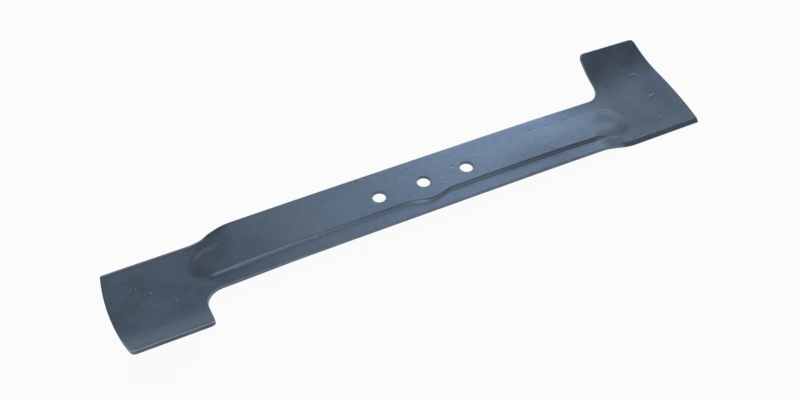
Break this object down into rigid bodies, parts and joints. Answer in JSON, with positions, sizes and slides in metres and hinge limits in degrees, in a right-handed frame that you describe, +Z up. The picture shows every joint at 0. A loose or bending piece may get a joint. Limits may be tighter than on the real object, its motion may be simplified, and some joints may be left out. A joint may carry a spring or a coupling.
{
  "type": "rotary mower blade",
  "caption": "Flat pressed steel rotary mower blade with a raised centre pad, fixing holes in line, drooped cutting ends and upturned rear wings.",
  "frame": {"origin": "centre hole's axis at the upper face of the raised pad", "axes": "+Z up along the centre hole's axis, +X along the blade, +Y across it"},
  "size_m": [0.43, 0.1152, 0.0252],
  "materials": {
    "blade_paint": "satin slate blue paint with fine press marks and scuffs"
  },
  "bodies": {
    "root": {"blade": "blade_paint"}
  },
  "joints": []
}
